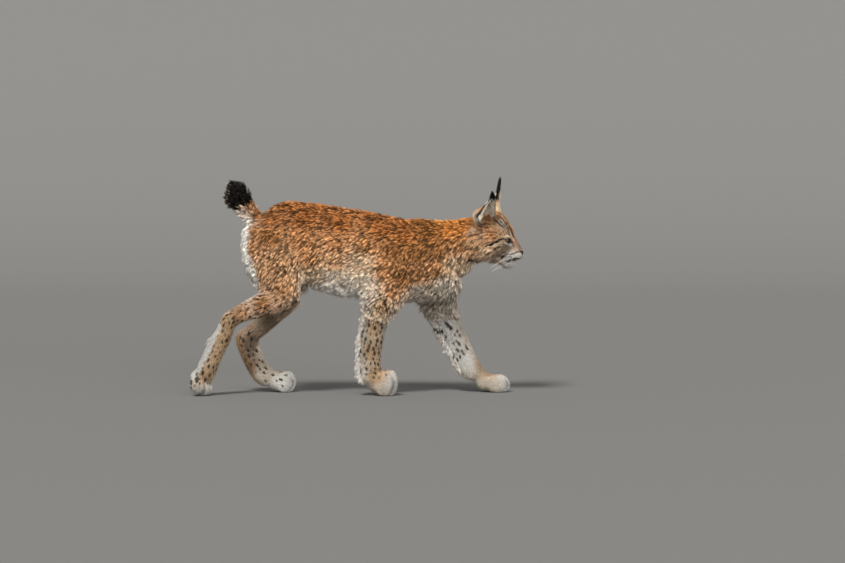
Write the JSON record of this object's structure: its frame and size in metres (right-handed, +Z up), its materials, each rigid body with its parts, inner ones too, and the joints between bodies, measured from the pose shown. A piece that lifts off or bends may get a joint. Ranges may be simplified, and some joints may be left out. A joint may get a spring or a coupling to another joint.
{
  "type": "young eurasian lynx",
  "caption": "Still, life-size model of a young lynx in a walking pose, with tufted ears, a short black-tipped tail and spotted legs.",
  "frame": {"origin": "on the floor, under the middle of the box round the whole animal", "axes": "+X the way the animal walks, +Y its left side, +Z up"},
  "size_m": [0.7506, 0.1894, 0.485],
  "materials": {
    "coat_russet": "soft short fur, russet brown with pale hair tips",
    "coat_sand": "soft short fur, sandy brown with dark spots",
    "coat_cream": "soft fur, cream white",
    "ear_skin": "thin ear with short fur, black at its edge and tuft",
    "eye": "wet eye, yellow brown iris and dark pupil",
    "nose_leather": "bare nose skin, pinkish brown, slightly moist"
  },
  "bodies": {
    "root": {"head": "coat_sand", "nose": "nose_leather", "eye_right": "eye", "eye_left": "eye", "ear_right": "ear_skin", "ear_left": "ear_skin", "neck": "coat_russet", "torso": "coat_russet", "tail": "coat_russet", "foreleg_right_upper": "coat_russet", "foreleg_right_lower": "coat_sand", "forepaw_right": "coat_cream", "hindleg_right_upper": "coat_russet", "hindleg_right_lower": "coat_sand", "hindpaw_right": "coat_cream", "foreleg_left_upper": "coat_russet", "foreleg_left_lower": "coat_sand", "forepaw_left": "coat_cream", "hindleg_left_upper": "coat_russet", "hindleg_left_lower": "coat_sand", "hindpaw_left": "coat_cream"}
  },
  "joints": []
}
